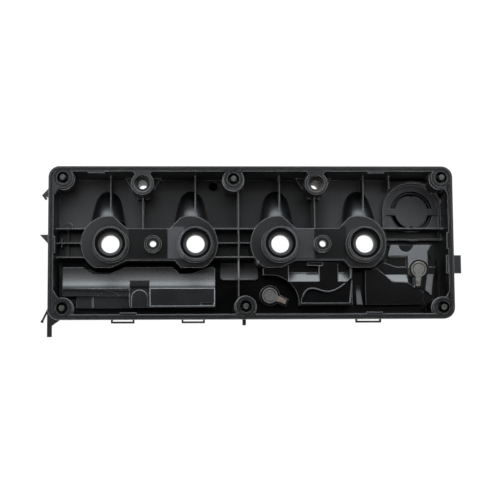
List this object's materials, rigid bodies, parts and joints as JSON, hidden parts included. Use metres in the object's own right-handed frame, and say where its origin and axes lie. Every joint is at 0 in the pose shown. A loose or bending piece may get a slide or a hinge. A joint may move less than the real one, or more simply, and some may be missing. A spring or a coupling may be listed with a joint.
{
  "type": "engine valve cover",
  "caption": "Black moulded engine valve cover seen from its open side, with injector wells and tubes, oil separator plates, drain valves, gasket, held bolts and a turning filler cap.",
  "frame": {"origin": "centre of the cover's box in X and Y, on the plane of its outermost outside faces", "axes": "+X along the engine, +Y across it towards the guide sleeves, +Z out of the open side that meets the cylinder head"},
  "size_m": [0.4338, 0.1756, 0.065],
  "materials": {
    "black_moulding": "satin",
    "black_plate": "satin",
    "seal_rubber": "matte",
    "zinc_steel": "satin",
    "dark_steel": "satin",
    "spring_steel": "satin"
  },
  "bodies": {
    "cover": {"bolt_grommet_1": "seal_rubber", "bolt_grommet_2": "seal_rubber", "bolt_grommet_3": "seal_rubber", "bolt_grommet_4": "seal_rubber", "bolt_grommet_5": "seal_rubber", "bolt_grommet_6": "seal_rubber", "bolt_sleeve_1": "dark_steel", "bolt_sleeve_2": "dark_steel", "bolt_sleeve_3": "dark_steel", "bolt_sleeve_4": "dark_steel", "bolt_sleeve_5": "dark_steel", "bolt_sleeve_6": "dark_steel", "breather_chamber_plate": "black_plate", "captive_bolt_1": "zinc_steel", "captive_bolt_2": "zinc_steel", "captive_bolt_3": "zinc_steel", "captive_bolt_4": "zinc_steel", "captive_bolt_5": "zinc_steel", "captive_bolt_6": "zinc_steel", "clamp_bolt_seal_1": "seal_rubber", "clamp_bolt_seal_2": "seal_rubber", "cover_shell": "black_moulding", "drain_valve_1": "spring_steel", "drain_valve_2": "spring_steel", "filler_baffle": "black_moulding", "guide_sleeve_1": "zinc_steel", "guide_sleeve_2": "zinc_steel", "injector_seal_1": "seal_rubber", "injector_seal_2": "seal_rubber", "injector_seal_3": "seal_rubber", "injector_seal_4": "seal_rubber", "left_separator_plate": "black_plate", "perimeter_gasket": "seal_rubber", "right_separator_plate": "black_plate", "valve_rivet_1": "spring_steel", "valve_rivet_2": "spring_steel"},
    "filler_cap": {"oil_filler_cap": "black_moulding", "oil_cap_seal": "seal_rubber"}
  },
  "joints": [
    {"name": "oil_cap_turn", "type": "hinge", "parent": "cover", "child": "filler_cap", "pos_m": [0.1722, 0.04565, 0], "axis": [0, 0, 1], "range_deg": [0, 90]}
  ]
}
